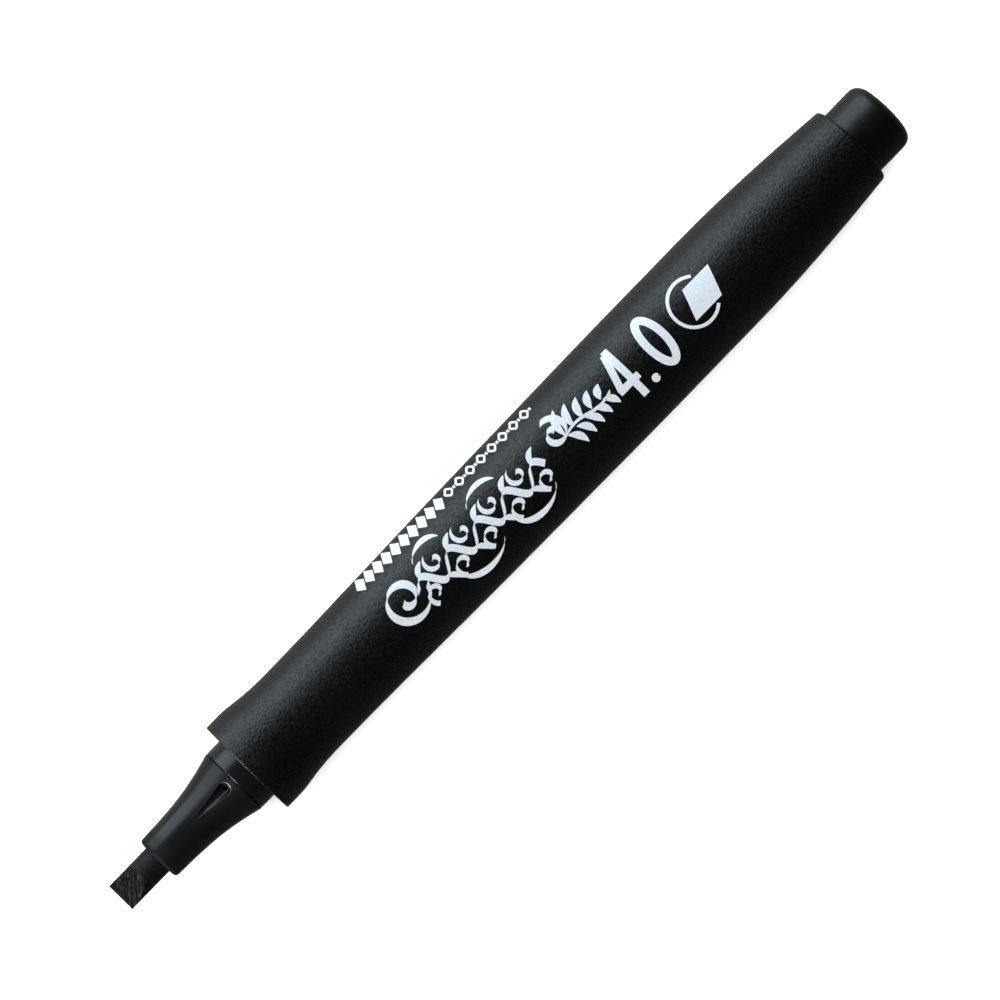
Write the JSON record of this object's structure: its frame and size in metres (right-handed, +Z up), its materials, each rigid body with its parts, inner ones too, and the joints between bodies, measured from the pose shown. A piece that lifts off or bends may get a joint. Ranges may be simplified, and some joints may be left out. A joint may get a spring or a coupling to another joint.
{
  "type": "calligraphy marker",
  "caption": "Felt marker for broad-nib lettering: satin barrel, vented front cone with a chisel fibre nib, cap collar, wrapped ink reservoir and a tail plug. Shown without its cap.",
  "frame": {"origin": "under the middle of the pen's length, on the surface that the pen lies on", "axes": "+X along the pen towards the tail plug, the nib at -X; +Z up; the vent and one nib bevel face up"},
  "size_m": [0.1324, 0.0138, 0.0138],
  "materials": {
    "barrel_plastic": "fine satin texture, black polypropylene",
    "holder_plastic": "semi-gloss moulded black polypropylene",
    "plug_plastic": "satin moulded black polypropylene",
    "nib_fibre": "ink-stained bonded fibre, dull",
    "reservoir_fibre": "ink-soaked fibre bundle",
    "reservoir_wrap": "thin clear-white film",
    "print_ink": "cool white pad-printed ink on the barrel"
  },
  "bodies": {
    "barrel": {"barrel": "barrel_plastic", "reservoir_core": "reservoir_fibre", "reservoir_film": "reservoir_wrap"},
    "nib_holder": {"nib_holder": "holder_plastic"},
    "nib": {"nib": "nib_fibre"},
    "tail_plug": {"tail_plug": "plug_plastic"}
  },
  "joints": [
    {"name": "holder_pull", "type": "slide", "parent": "barrel", "child": "nib_holder", "axis": [-1, 0, 0], "range_m": [0, 0.013]},
    {"name": "nib_pull", "type": "slide", "parent": "nib_holder", "child": "nib", "axis": [-1, 0, 0], "range_m": [0, 0.036]},
    {"name": "plug_pull", "type": "slide", "parent": "barrel", "child": "tail_plug", "axis": [1, 0, 0], "range_m": [0, 0.0075]}
  ]
}
